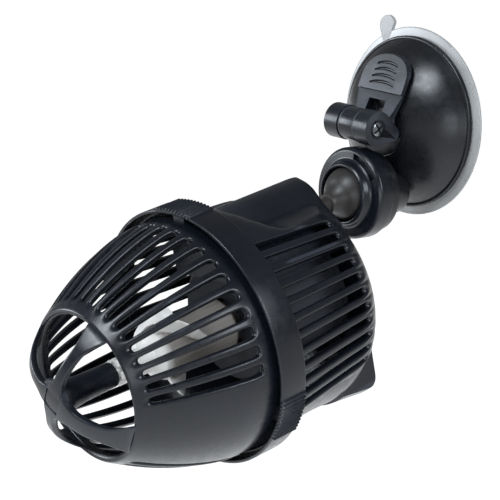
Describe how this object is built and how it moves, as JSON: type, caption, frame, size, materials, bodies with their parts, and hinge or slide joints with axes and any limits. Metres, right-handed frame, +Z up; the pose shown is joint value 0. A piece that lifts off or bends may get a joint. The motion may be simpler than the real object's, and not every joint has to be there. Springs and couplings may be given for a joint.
{
  "type": "aquarium wave maker pump on a lever-lock suction cup",
  "caption": "Egg-shaped water pump with a slotted intake cage and motor housing, hung by a ball joint on a round suction cup with a locking lever.",
  "frame": {"origin": "centre of the suction disc's face on the glass", "axes": "+Y out of the disc into the glass, +Z up, the pump stands out towards -Y and hangs nose down"},
  "size_m": [0.08, 0.1422, 0.1309],
  "materials": {
    "black_plastic": "satin moulded",
    "cover_plastic": "smooth satin gloss",
    "clear_pvc": "soft translucent",
    "impeller_plastic": "moulded off-white",
    "steel": "plain stainless",
    "ceramic": "ground ceramic",
    "ferrite": "ground ferrite",
    "copper_winding": "enamelled wire",
    "core_steel": "stacked sheet",
    "rubber": "matte"
  },
  "bodies": {
    "cup": {"suction_disc": "clear_pvc", "cup_cover": "cover_plastic"},
    "stud": {"disc_stud": "black_plastic"},
    "lever": {"lock_lever": "black_plastic", "pivot_screw": "steel"},
    "collar": {"collar_nut": "black_plastic"},
    "swivel": {"ball_seat": "rubber"},
    "ball_body": {"ball": "cover_plastic"},
    "pump": {"ball_stem": "black_plastic", "motor_housing": "black_plastic", "motor_can": "black_plastic", "end_cap": "black_plastic", "stator_core": "core_steel", "coil_upper": "copper_winding", "coil_lower": "copper_winding", "rear_bush": "ceramic", "cable_gland": "rubber", "back_screw_1": "steel", "back_screw_2": "steel", "back_screw_3": "steel"},
    "intake": {"cage": "black_plastic", "front_bush": "ceramic"},
    "rotor": {"rotor_shaft": "ceramic", "rotor_magnet": "ferrite", "washer_front": "rubber", "washer_rear": "rubber", "impeller": "impeller_plastic"}
  },
  "joints": [
    {"name": "stud_pull", "type": "slide", "parent": "cup", "child": "stud", "axis": [0, 1, 0], "range_m": [0, 0.0022], "deforming": ["suction_disc"]},
    {"name": "lever_lock", "type": "hinge", "parent": "stud", "child": "lever", "pos_m": [0.00005, -0.025, 0.0005], "axis": [0.9954, 0, -0.0958], "range_deg": [0, 85]},
    {"name": "collar_turn", "type": "hinge", "parent": "cup", "child": "collar", "pos_m": [0, -0.0263, -0.0209], "axis": [0, 1, 0], "range_deg": [0, 30]},
    {"name": "ball_swivel", "type": "hinge", "parent": "cup", "child": "swivel", "pos_m": [0, -0.0263, -0.0209], "axis": [0, 1, 0], "range_deg": [-45, 45]},
    {"name": "ball_tilt", "type": "hinge", "parent": "swivel", "child": "ball_body", "pos_m": [0, -0.0263, -0.0209], "axis": [1, 0, 0], "range_deg": [-20, 18]},
    {"name": "stem_roll", "type": "hinge", "parent": "ball_body", "child": "pump", "pos_m": [0, -0.0263, -0.0209], "axis": [0, -0.9763, -0.2164], "range_deg": [-45, 45]},
    {"name": "cage_bayonet", "type": "hinge", "parent": "pump", "child": "intake", "pos_m": [0, -0.09177, -0.05826], "axis": [0, -0.9763, -0.2164], "range_deg": [0, 15]},
    {"name": "rotor_spin", "type": "hinge", "parent": "pump", "child": "rotor", "pos_m": [0, -0.09177, -0.05826], "axis": [0, -0.9763, -0.2164], "continuous": true}
  ],
  "couplings": [
    {"joint": "stud_pull", "follows": "lever_lock", "m_per_rad": 0.00148}
  ]
}
